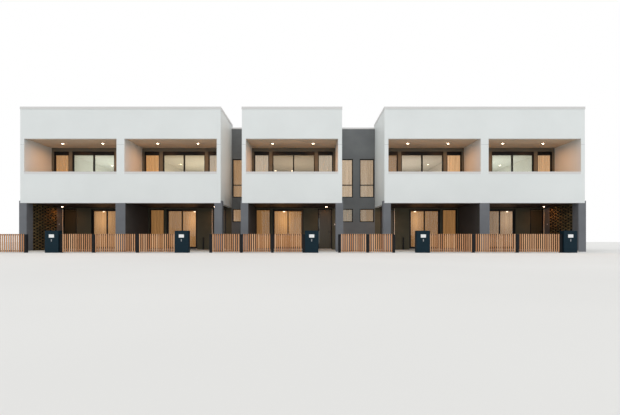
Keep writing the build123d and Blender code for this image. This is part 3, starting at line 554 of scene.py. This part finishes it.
# Brick screens: a hole at every pitch of a course, each course half a pitch off the next
def brickScreen(side, nodeName):
    screen = {"course": 0.086, "joint": 0.01, "pitch": 0.465, "hole": 0.15, "edge": 0.004, "rake": 0.006,
              "inset": 0.001, "slip": 0.0015, "tints": (0.0, 0.6)}
    low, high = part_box(nodeName)
    courses = int((high.z - screen["joint"]) // screen["course"])
    bricks, beds = startTinted(), bmesh.new()
    for course in range(courses + 1):
        bottom = course * screen["course"] + screen["joint"]
        top = min(bottom + screen["course"] - screen["joint"], high.z)
        y = low.y + screen["pitch"] / 4 + (0 if course % 2 else screen["pitch"] / 2)
        holes = []
        while y + screen["hole"] / 2 + screen["joint"] < high.y:
            holes.append(y)
            y += screen["pitch"]
        if course in (0, courses):
            holes = []
        starts = [low.y] + [hole + screen["hole"] / 2 for hole in holes]
        ends = [hole - screen["hole"] / 2 for hole in holes] + [high.y]
        for start, end in zip(starts, ends):
            slip = chance.uniform(-screen["slip"], screen["slip"])
            addBlock(bricks, (low.x + screen["inset"] + slip, start, bottom),
                     (high.x - screen["inset"] + slip, end, top), screen["edge"],
                     chance.uniform(*screen["tints"]))
        addBlock(beds, (low.x + screen["rake"], low.y, bottom - screen["joint"]),
                 (high.x - screen["rake"], high.y, bottom))
    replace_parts(finishPiece("screenBricks" + side, bricks, [brick]), nodeName)
    finishPiece("screenMortar" + side, beds, [mortar])


brickScreen("Left", "brick_screen_left")
brickScreen("Right", "brick_screen_right")
print("brick screens laid")


# Entry doors: a flush leaf, its hinge knuckles and a square lever on each face
def entryDoor(house):
    door = {"jamb": 0.03, "pinGap": 0.004, "leafGap": 0.008, "thick": 0.04, "edge": 0.002,
            "backset": 0.05, "height": 1.0, "rose": 0.052, "roseThick": 0.007, "neck": 0.016, "reach": 0.044,
            "length": 0.13, "bar": 0.018, "barThick": 0.009, "roseEdge": 0.0015,
            "knuckle": 0.06, "radius": 0.0068, "sides": 20, "proud": 0.006, "plate": 0.03,
            "plateThick": 0.004, "plateEdge": 0.001, "inset": 0.24}
    name = f"entry_door_{house + 1}"
    low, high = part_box(name)
    way = -1 if row["mirrored"][house] else 1
    x0, x1 = doorSpan(house)
    jambX = x1 - door["jamb"] if way < 0 else x0 + door["jamb"]
    near, far = jambX + way * door["leafGap"], high.x if way > 0 else low.x
    outerY = low.y + door["reach"] + door["barThick"]
    innerY = outerY + door["thick"]
    leaf = bmesh.new()
    addBlock(leaf, (min(near, far), outerY, low.z), (max(near, far), innerY, high.z), door["edge"])
    piece = finishPiece(f"doorLeaf_{house + 1}", leaf, [veneer], name)
    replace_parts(piece, name)
    metal = bmesh.new()
    x, z = far - way * door["backset"], floorZ + door["height"]
    rose, neck, bar = door["rose"] / 2, door["neck"] / 2, door["bar"] / 2
    for side, face in ((-1, outerY), (1, innerY)):
        for half, depth in ((rose, door["roseThick"]), (neck, door["reach"])):
            y0, y1 = between(face, side * depth)
            addBlock(metal, (x - half, y0, z - half), (x + half, y1, z + half), door["roseEdge"])
        y0, y1 = between(face + side * door["reach"], side * door["barThick"])
        tip, root = x - way * (door["length"] - neck), x + way * neck
        addBlock(metal, (min(tip, root), y0, z - bar), (max(tip, root), y1, z + bar), door["edge"])
    pinX = jambX + way * door["pinGap"]
    x0, x1 = between(pinX, way * door["plate"])
    for level in (low.z + door["inset"], (low.z + high.z - door["knuckle"]) / 2,
                  high.z - door["inset"] - door["knuckle"]):
        barrel = bmesh.ops.create_cone(metal, cap_ends=True, segments=door["sides"], radius1=door["radius"],
                                       radius2=door["radius"], depth=door["knuckle"])["verts"]
        bmesh.ops.translate(metal, vec=(pinX, innerY + door["proud"], level + door["knuckle"] / 2),
                            verts=barrel)
        addBlock(metal, (x0, innerY, level), (x1, innerY + door["plateThick"], level + door["knuckle"]),
                 door["plateEdge"])
    finishPiece(f"doorMetal_{house + 1}", metal, [blackFrame], name)


# Sliding doors: a black sash, its pane, and an upright pull on each face of the closing stile
def slidingDoor(house):
    sash = {"stile": 0.06, "foot": 0.08, "thick": 0.04, "edge": 0.002, "glass": 0.012, "pullHeight": 1.18,
            "pullLength": 0.18, "pullWidth": 0.052, "plate": 0.008, "grip": 0.13, "gripWidth": 0.014,
            "gripDepth": 0.024, "pullEdge": 0.003}
    name = f"sliding_door_{house + 1}"
    low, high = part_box(name)
    middleY = (low.y + high.y) / 2
    y0, y1 = middleY - sash["thick"] / 2, middleY + sash["thick"] / 2
    metal = bmesh.new()
    stile, foot = sash["stile"], sash["foot"]
    addBlock(metal, (low.x, y0, low.z), (low.x + stile, y1, high.z), sash["edge"])
    addBlock(metal, (high.x - stile, y0, low.z), (high.x, y1, high.z), sash["edge"])
    addBlock(metal, (low.x + stile, y0, low.z), (high.x - stile, y1, low.z + foot), sash["edge"])
    addBlock(metal, (low.x + stile, y0, high.z - stile), (high.x - stile, y1, high.z), sash["edge"])
    x = low.x + stile / 2 if row["mirrored"][house] else high.x - stile / 2
    z = floorZ + sash["pullHeight"]
    for side, face in ((-1, y0), (1, y1)):
        for width, length, depth in ((sash["pullWidth"], sash["pullLength"], sash["plate"]),
                                     (sash["gripWidth"], sash["grip"], sash["gripDepth"])):
            a, b = between(face, side * depth)
            addBlock(metal, (x - width / 2, a, z - length / 2), (x + width / 2, b, z + length / 2),
                     sash["pullEdge"])
    piece = finishPiece(f"sliderSash_{house + 1}", metal, [blackFrame], name)
    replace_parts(piece, name)
    pane = bmesh.new()
    addBlock(pane, (low.x + stile, middleY - sash["glass"] / 2, low.z + foot),
             (high.x - stile, middleY + sash["glass"] / 2, high.z - stile))
    finishPiece(f"sliderPane_{house + 1}", pane, [glass], name)


for house in houses:
    entryDoor(house)
    slidingDoor(house)
print("doors hung")


# Lamps, as a disc or a rectangle
def areaLamp(name, place, watts, colour, shape, size):
    light = bpy.data.lights.new(name, "AREA")
    light.shape = shape
    light.size = size
    light.energy = watts
    light.color = linear(colour)[:3]
    lamp = bpy.data.objects.new(name, light)
    lamp.location = place
    scene.collection.objects.link(lamp)
    return lamp


# Recessed downlights: a rim and a lit lens, in the porches, the balconies and the rooms behind the glass
def downlights(name, places, lamp=None):
    fitting = {"rim": 0.068, "lens": 0.053, "taper": 0.94, "drop": 0.008, "lensTop": 0.001, "lensDrop": 0.01,
               "sides": 28, "lampSize": 0.12, "lampDrop": 0.02}
    bm = bmesh.new()
    for x, y, z in places:
        for radius, top, bottom, finish in ((fitting["rim"], 0.0, fitting["drop"], 0),
                                            (fitting["lens"], fitting["lensTop"], fitting["lensDrop"], 1)):
            made = bmesh.ops.create_cone(bm, cap_ends=True, segments=fitting["sides"],
                                         radius1=radius * fitting["taper"], radius2=radius,
                                         depth=bottom - top)["verts"]
            bmesh.ops.translate(bm, vec=(x, y, z - (top + bottom) / 2), verts=made)
            for face in {f for v in made for f in v.link_faces}:
                face.material_index = finish
        if lamp:
            bulb = areaLamp(name + "Lamp", (x, y, z - fitting["lampDrop"]), lamp["watts"], lamp["colour"],
                            "DISK", fitting["lampSize"])
            bulb.data.spread = math.radians(lamp["spread"])
    finishPiece(name, bm, [whitePlate, lens])


def placeDownlights():
    # aside is from the middle of a box or a door, start from the window side of a box, depth from the fronts
    spots = {"balconyAside": (-1.1, 1.1), "balconyDepth": 1.2,
             "porchAside": (0.06, -0.08, 0.04, -0.18, -0.05), "porchDepth": 2.3,
             "lowerStarts": (2.05, 4.15), "lowerDepth": 6.2,
             "upperPlaces": ((0, 4.15, 7.84), (1, 0.86, 7.35), (1, 0.75, 10.56), (2, 0.95, 10.0),
                             (2, 2.22, 10.0), (2, 5.7, 5.95), (3, 0.8, 7.4), (3, 0.71, 10.5), (4, 4.4, 7.8))}
    balcony, porch, room = [], [], []
    for house in houses:
        middle = boxLefts[house] + row["boxWidth"] / 2
        for aside in spots["balconyAside"]:
            balcony.append((middle + aside, faceY + spots["balconyDepth"], ceilingZ))
        x0, x1 = doorSpan(house)
        porch.append(((x0 + x1) / 2 + spots["porchAside"][house], faceY + spots["porchDepth"], soffitZ))
        for start in spots["lowerStarts"]:
            room.append((span(house, start, start)[0], faceY + spots["lowerDepth"], soffitZ))
    for house, start, depth in spots["upperPlaces"]:
        room.append((span(house, start, start)[0], faceY + depth, ceilingZ))
    downlights("balconyLights", balcony, {"watts": 21, "colour": "#ffae68", "spread": 168})
    downlights("porchLights", porch, {"watts": 7, "colour": "#ffa860", "spread": 170})
    downlights("roomLights", room)


placeDownlights()
print("downlights set")


# Curtains: gathered sheers on their tracks, each a single sheet with soft upright folds
def balconyWindows(house):
    x0 = boxLefts[house] + row["boxWall"] + row["balconyWindowStart"]
    x1 = boxLefts[house] + row["boxWidth"] - row["boxWall"] - row["balconyWindowStart"]
    return (x0, x0 + row["balconyWindowWidth"]), (x1 - row["balconyWindowWidth"], x1)


def bayWindows():
    x0 = leftBay[0] + row["bayWindowStart"]
    x1 = rightBay[0] + row["bayWindowStart"]
    x2 = rightBay[1] - row["bayWindowStart"]
    width = row["bayWindowWidth"]
    return (x0, x0 + width), (x1, x1 + width), (x2 - width, x2)


def curtain(name, opening, wallY, foot, ceiling, tint, glow, lampX=None):
    cloth = {"overlap": 0.06, "setback": 0.075, "track": 0.025, "seat": 0.001, "fold": 0.12, "depth": 0.026,
             "fullness": 1.36, "perFold": 10, "rows": 12, "drift": 0.35, "driftRate": 3.1, "lean": 0.5,
             "twist": 0.25, "twistRate": 2.2, "uneven": 0.2, "unevenRate": 7, "topDepth": 0.75, "lampZ": 2.34,
             "noLamp": (9, 0, 9)}  # far enough for no light
    x0, x1 = opening[0] - cloth["overlap"], opening[1] + cloth["overlap"]
    top = ceiling - cloth["track"] - cloth["seat"]
    width, height = x1 - x0, top - foot
    folds = round(width / cloth["fold"])
    bm = startTinted()
    glowLayer = bm.verts.layers.float.new("glow")
    lampLayer = bm.verts.layers.float_vector.new("lampPlace")
    tintLayer = bm.verts.layers.float["boardTint"]
    bmesh.ops.create_grid(bm, x_segments=folds * cloth["perFold"], y_segments=cloth["rows"], size=0.5)
    phases = [chance.uniform(0, 6.28) for _ in range(3)]
    for vert in bm.verts:
        across, up = vert.co.x + 0.5, vert.co.y + 0.5
        lean = phases[0] + cloth["lean"] * up
        drift = cloth["drift"] * math.sin(cloth["driftRate"] * across * width + lean)
        twist = cloth["twist"] * math.sin(cloth["twistRate"] * up + phases[1])
        turn = 2 * math.pi * folds * across + drift + twist
        uneven = 1 - cloth["uneven"] + cloth["uneven"] * math.sin(cloth["unevenRate"] * across + phases[2])
        deep = cloth["depth"] * uneven * (cloth["topDepth"] + (1 - cloth["topDepth"]) * (1 - up))
        x, z = x0 + across * width, foot + up * height
        vert.co = (x, wallY + cloth["setback"] + deep * math.sin(turn), z)
        vert[tintLayer] = tint
        vert[glowLayer] = glow
        vert[lampLayer] = cloth["noLamp"] if lampX is None else (x - lampX, 0, z - cloth["lampZ"])
    for face in bm.faces:
        face.smooth = True
    piece = finishPiece(name, bm, [linen])
    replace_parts(piece, "curtains")


def hangCurtains():
    # pairs are the tint and the painted glow of each curtain, as the photograph shows them
    hung = {"gap": 0.016, "lowerFoot": 1.581, "window": (0.06, 0.29),
            "sliders": ((0.1, 0.32), (0.1, 0.32), (0.0, 0.31), (0.1, 0.27), (0.45, 0.225)),
            "sliderLamps": (-12.0, -6.53, -1.16, 6.71, 12.25),
            "balconies": (((0.2, 0.5), (0.3, 0.4)), ((0.12, 0.61), (1.0, 0.45)), ((0.95, 0.51), (1.0, 0.49)),
                          ((0.4, 0.28), (0.3, 0.74)), ((0.3, 0.4), (0.35, 0.63))),
            "baysUpper": ((0.3, 0.38), (0.8, 0.56), (0.75, 0.43)),
            "baysLower": ((0.45, 0.4), (1.0, 0.27), (0.75, 0.31))}
    lowerFoot, upperFoot = floorZ + hung["gap"], deckZ + hung["gap"]
    for house in houses:
        window = span(house, row["windowStart"], row["windowStart"] + row["windowWidth"])
        slider = span(house, row["sliderStart"], row["sliderStart"] + row["sliderWidth"])
        curtain(f"windowCurtain_{house + 1}", window, insideY, lowerFoot, soffitZ, *hung["window"])
        curtain(f"sliderCurtain_{house + 1}", slider, insideY, lowerFoot, soffitZ, *hung["sliders"][house],
                hung["sliderLamps"][house])
        for side, opening, looks in zip(("Left", "Right"), balconyWindows(house), hung["balconies"][house]):
            curtain(f"balconyCurtain{side}_{house + 1}", opening, balconyInsideY, upperFoot, ceilingZ, *looks)
    for index, opening in enumerate(bayWindows()):
        curtain(f"bayCurtainUpper_{index + 1}", opening, insideY, upperFoot, ceilingZ,
                *hung["baysUpper"][index])
        curtain(f"bayCurtainLower_{index + 1}", opening, insideY, hung["lowerFoot"], soffitZ,
                *hung["baysLower"][index])


hangCurtains()
print("curtains hung")


# Lamps that light something without being seen themselves, also not through the glass
def hiddenLamp(name, place, turn, size, watts, colour):
    lamp = areaLamp(name, place, watts, colour, "RECTANGLE", size[0])
    lamp.data.size_y = size[1]
    lamp.rotation_euler = turn
    lamp.visible_camera = False
    lamp.visible_glossy = False
    lamp.visible_transmission = False


def roomLamps():
    # near each floor, facing up: they light the upper rooms' ceilings and the ground-floor rooms
    lamps = {"size": (3.0, 5.0), "depth": 7.0, "rise": 0.1, "lowerWatts": 24, "lowerColour": "#ffb878",
             "upperWatts": (124, 98, 60, 82, 116),
             "upperColours": ("#ecf6f6", "#faecd6", "#f2d8c0", "#f4e6dc", "#ecf6f6")}
    for house in houses:
        x, y = boxLefts[house] + row["boxWidth"] / 2, faceY + lamps["depth"]
        for z, watts, colour in ((deckZ, lamps["upperWatts"][house], lamps["upperColours"][house]),
                                 (floorZ, lamps["lowerWatts"], lamps["lowerColour"])):
            hiddenLamp("roomLamp", (x, y, z + lamps["rise"]), (math.pi, 0, 0), lamps["size"], watts, colour)


def bayLamps():
    # in the two bays, on the middle box: they light the flank of the box across the bay
    lamps = {"size": (4.2, 2.2), "clear": 0.02, "depth": 1.4, "z": 5.1, "watts": (13, 18),
             "colours": ("#ffdcc2", "#fff8f0")}
    walls, turns = (leftBay[1] - lamps["clear"], rightBay[0] + lamps["clear"]), (math.pi / 2, -math.pi / 2)
    for x, turn, watts, colour in zip(walls, turns, lamps["watts"], lamps["colours"]):
        place = (x, faceY + lamps["depth"], lamps["z"])
        hiddenLamp("bayLamp", place, (0, turn, 0), lamps["size"], watts, colour)


roomLamps()
bayLamps()
print("rooms and bays lit")


# Letterbox pillars: folded steel boxes, set back by the thickness of the plate and latch on their fronts
def letterboxes():
    box = {"narrowest": 0.6, "widest": 0.65, "width": 0.64, "setBack": 0.009, "edge": 0.008,
           "plate": 0.245, "plateLow": 0.72, "plateHigh": 0.872, "plateEdge": 0.0015, "thick": 0.004,
           "latch": 0.045, "latchLow": 0.535, "latchHigh": 0.65, "latchEdge": 0.003}
    pillars, plates, latches = bmesh.new(), bmesh.new(), bmesh.new()
    corners = sorted({round(v.co.x, 3) for v in nodes["letterbox_pillars"].data.vertices})
    low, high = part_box("letterbox_pillars")
    front = low.y + box["setBack"]
    for a, b in zip(corners, corners[1:]):
        if not box["narrowest"] < b - a < box["widest"]:
            continue  # a gap between two pillars
        x = (a + b) / 2
        addBlock(pillars, (x - box["width"] / 2, front, low.z), (x + box["width"] / 2, high.y, high.z),
                 box["edge"])
        addBlock(plates, (x - box["plate"] / 2, front - box["thick"], box["plateLow"]),
                 (x + box["plate"] / 2, front, box["plateHigh"]), box["plateEdge"])
        addBlock(latches, (x - box["latch"] / 2, front - 2 * box["thick"], box["latchLow"]),
                 (x + box["latch"] / 2, front, box["latchHigh"]), box["latchEdge"])
    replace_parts(finishPiece("letterboxPillars", pillars, [navySteel]), "letterbox_pillars")
    finishPiece("letterboxPlates", plates, [whitePlate])
    finishPiece("letterboxLatches", latches, [greySteel])


letterboxes()
print("letterboxes stood")


# Small things on the walls
def doorStrips():
    # black cover strips round the doors, but a pale bead instead on one side in all but the middle house; the
    # bead's pale warm colour is partly its own and partly painted highlight, the porch light caught on the
    # door's reveal
    strip = {"wide": 0.035, "deep": 0.008, "top": 0.09, "bead": 0.024, "beadTop": 0.02, "beadEdge": 0.008,
             "beadProud": 0.006, "beadBack": 0.038}
    top, front, beadFront = soffitZ - strip["top"], bodyY - strip["deep"], bodyY - strip["beadProud"]
    strips, beads = bmesh.new(), bmesh.new()
    for house in houses:
        x0, x1 = doorSpan(house)
        x, way = (x0, 1) if house in (0, 1) else (x1, -1)
        a, b = between(x0 + x1 - x, way * strip["wide"])
        addBlock(strips, (a, front, floorZ), (b, bodyY, top))
        addBlock(strips, (x0 - strip["wide"], front, top), (x1 + strip["wide"], bodyY, top + strip["wide"]))
        if house == 2:
            addBlock(strips, (x, front, floorZ), (x + strip["wide"], bodyY, top))
            continue
        a, b = between(x, way * strip["beadEdge"])
        addBlock(beads, (a, beadFront, floorZ), (b, bodyY + strip["beadBack"], top))
        a, b = between(x, -way * strip["bead"])
        addBlock(beads, (a, beadFront, porchZ), (b, bodyY, soffitZ - strip["beadTop"]))
    finishPiece("doorCoverStrips", strips, [blackFrame])
    finishPiece("doorBeads", beads, [paleHighlightStrip])


def doorbells():
    # on the side walls of the end porches, and beside the middle door
    bell = {"wide": 0.05, "high": 0.075, "proud": 0.018, "edge": 0.006, "z": 1.54, "depth": 2.8,
            "aside": 0.18}
    half, y = bell["wide"] / 2, faceY + bell["depth"]
    low, high = bell["z"] - bell["high"] / 2, bell["z"] + bell["high"] / 2
    bells = bmesh.new()
    for wallX, way in ((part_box("brick_screen_left")[1].x, 1), (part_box("brick_screen_right")[0].x, -1)):
        a, b = between(wallX, way * bell["proud"])
        addBlock(bells, (a, y - half, low), (b, y + half, high), bell["edge"])
    x = doorSpan(2)[1] + bell["aside"]
    addBlock(bells, (x - half, bodyY - bell["proud"], low), (x + half, bodyY, high), bell["edge"])
    finishPiece("doorbells", bells, [whitePlate])


def claddingJoints():
    # where the panels meet on the front edges of the boxes, a little below the balcony ceilings
    joint = {"z": 5.57, "half": 0.008, "proud": 0.0015}
    joints = bmesh.new()
    for left in boxLefts:
        for x in (left, left + row["boxWidth"] - row["boxWall"]):
            addBlock(joints, (x, faceY - joint["proud"], joint["z"] - joint["half"]),
                     (x + row["boxWall"], faceY, joint["z"] + joint["half"]))
    finishPiece("claddingJoints", joints, [greyJoint])


doorStrips()
doorbells()
claddingJoints()


# Roof sheets: low upright ribs from front to back
def roofRibs():
    ribs = {"pitch": 0.25, "width": 0.06, "high": 0.03, "clear": 0.05, "frontClear": 0.2}
    bm = bmesh.new()

    def addRib(x, y0, y1):
        addBlock(bm, (x - ribs["width"] / 2, y0, roofZ), (x + ribs["width"] / 2, y1, roofZ + ribs["high"]))

    low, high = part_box("roof_decks")
    x = low.x + ribs["pitch"] / 2
    while x < high.x:
        addRib(x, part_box("end_walls")[0].y + ribs["clear"], high.y - ribs["clear"])
        x += ribs["pitch"]
    for left in boxLefts:
        middle = left + row["boxWidth"] / 2
        count = int((row["boxWidth"] - 2 * row["boxWall"]) // ribs["pitch"])
        for index in range(count):
            addRib(middle + (index - (count - 1) / 2) * ribs["pitch"], faceY + ribs["frontClear"],
                   bodyY - ribs["clear"])
    finishPiece("roofRibs", bm, [roofSteel])


roofRibs()
print("trim and roof ribs placed")

# Camera where the photograph was taken: level, low over the ground, and shifted up
view = {"x": 0.309, "back": 21.5, "height": 0.56, "lens": 24.06, "sensor": 36, "shiftX": 0.0024,
        "shiftY": 0.054, "farthest": 400}
camera = bpy.data.cameras.new("camera")
camera.lens = view["lens"]
camera.sensor_width = view["sensor"]
camera.shift_x = view["shiftX"]
camera.shift_y = view["shiftY"]
camera.clip_end = view["farthest"]
cameraObject = bpy.data.objects.new("camera", camera)
cameraObject.location = (view["x"], faceY - view["back"], view["height"])
cameraObject.rotation_euler = (math.radians(90), 0, 0)
scene.collection.objects.link(cameraObject)
scene.camera = cameraObject
print("camera placed")

# Floor, and a pale studio round it
studio = {"floor": ((0.3, "#e2e2e0"), (0.7, "#e6e6e4")), "floorCloud": 0.15, "floorSize": 400, "dome": 0.84,
          "sun": 0.8, "sunSpread": 90, "sunTilt": 50, "sunTurn": 8}
bm = bmesh.new()
bmesh.ops.create_grid(bm, x_segments=1, y_segments=1, size=studio["floorSize"] / 2)
floorMesh = bpy.data.meshes.new("floor")
bm.to_mesh(floorMesh)
bm.free()
floor = bpy.data.objects.new("floor", floorMesh)
floorMaterial, tree, shader, place = startMaterial("paleFloor", {"Roughness": 0.9})
shade = mottled(tree, place, studio["floorCloud"])
colour = addNode(tree, "ShaderNodeValToRGB", links={"Fac": shade}, stops=studio["floor"]).outputs[0]
tree.links.new(colour, shader.inputs["Base Color"])
floorMesh.materials.append(floorMaterial)
scene.collection.objects.link(floor)

# An even dome of soft light: white where it is seen, in glass and metal too, and a little lower as light
world = bpy.data.worlds.new("studio")
scene.world = world
world.use_nodes = True
tree = world.node_tree
tree.nodes.clear()
path = addNode(tree, "ShaderNodeLightPath")
seen = addNode(tree, "ShaderNodeMath", {"operation": "MAXIMUM"},
               links={0: path.outputs["Is Camera Ray"], 1: path.outputs["Is Glossy Ray"]}).outputs[0]
seen = addNode(tree, "ShaderNodeMath", {"operation": "MAXIMUM"},
               links={0: seen, 1: path.outputs["Is Transmission Ray"]}).outputs[0]
level = addNode(tree, "ShaderNodeMath", {"operation": "MULTIPLY_ADD"},
                {1: 1 - studio["dome"], 2: studio["dome"]}, {0: seen}).outputs[0]
backdrop = addNode(tree, "ShaderNodeBackground", values={"Color": (1, 1, 1, 1)}, links={"Strength": level})
addNode(tree, "ShaderNodeOutputWorld", links={"Surface": backdrop.outputs["Background"]})

sun = bpy.data.lights.new("softSun", "SUN")
sun.energy = studio["sun"]
sun.angle = math.radians(studio["sunSpread"])
sunObject = bpy.data.objects.new("softSun", sun)
sunObject.rotation_euler = (math.radians(studio["sunTilt"]), 0, math.radians(studio["sunTurn"]))
scene.collection.objects.link(sunObject)
print("studio lit")

scene.view_settings.view_transform = "Standard"
